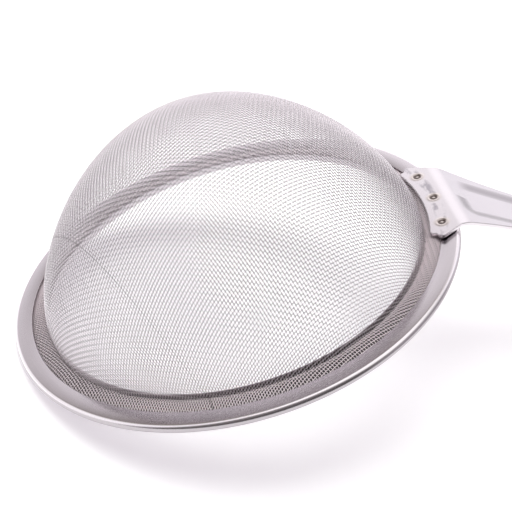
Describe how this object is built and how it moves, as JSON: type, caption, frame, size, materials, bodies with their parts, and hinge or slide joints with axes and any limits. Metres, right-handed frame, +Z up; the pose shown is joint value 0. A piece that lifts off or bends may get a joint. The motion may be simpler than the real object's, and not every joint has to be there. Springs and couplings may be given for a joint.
{
  "type": "foam skimmer",
  "caption": "Kitchen skimmer: a dome of fine woven steel wire in a folded steel rim, on a stamped steel handle with a pressed trough and a hang slot.",
  "frame": {"origin": "middle of the skimmer's box, on the table it lies on", "axes": "+Z up from the table with the dome up, +X along the handle towards its tip, +Y across"},
  "size_m": [0.2382, 0.0998, 0.0553],
  "materials": {
    "wire_cloth": "fine drawn wire, plain weave, bright",
    "rim_steel": "satin, brushed along the rim",
    "hoop_wire": "drawn wire",
    "handle_steel": "polished, stamped"
  },
  "bodies": {
    "root": {"mesh_bowl": "wire_cloth", "rim_band": "rim_steel", "rim_wire": "hoop_wire", "handle": "handle_steel"}
  },
  "joints": []
}
